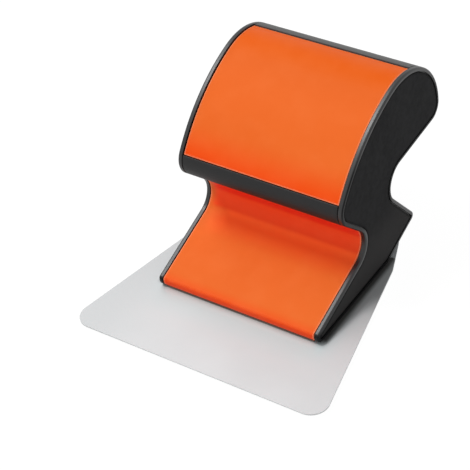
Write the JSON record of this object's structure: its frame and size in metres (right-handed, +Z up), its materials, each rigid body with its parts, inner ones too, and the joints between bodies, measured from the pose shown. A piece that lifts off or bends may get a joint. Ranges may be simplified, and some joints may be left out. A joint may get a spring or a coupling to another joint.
{
  "type": "spreading trowel",
  "caption": "Flared flat steel blade under a wide two-colour handle that is S-shaped from the side, with a finger gap in front of and behind its neck.",
  "frame": {"origin": "on the resting face, under the middle of the whole tool's box", "axes": "+Y from the blade's front edge towards the back of the handle, +Z up, X across the blade's width"},
  "size_m": [0.1458, 0.1684, 0.1041],
  "materials": {
    "blade_steel": "smooth rolled stainless sheet, soft reflections",
    "plate_aluminium": "milled and lightly tumbled",
    "plated_steel": "bright zinc plating",
    "core_plastic": "plain structural plastic",
    "orange_plastic": "satin orange",
    "grip_rubber": "soft matt dark grey",
    "cap_plastic": "satin charcoal",
    "gasket_rubber": "matt black"
  },
  "bodies": {
    "root": {"blade": "blade_steel", "clamp_plate": "plate_aluminium", "sole_gasket": "gasket_rubber", "handle_core": "core_plastic", "front_nut_bar": "plated_steel", "rear_nut_bar": "plated_steel", "blade_screws": "plated_steel", "lower_panel": "orange_plastic", "upper_panel": "orange_plastic", "front_grip_strip": "grip_rubber", "rear_grip_cover": "grip_rubber", "right_end_cap": "cap_plastic", "left_end_cap": "cap_plastic", "right_cap_inlay": "grip_rubber", "left_cap_inlay": "grip_rubber", "right_cap_screws": "plated_steel", "left_cap_screws": "plated_steel"}
  },
  "joints": []
}
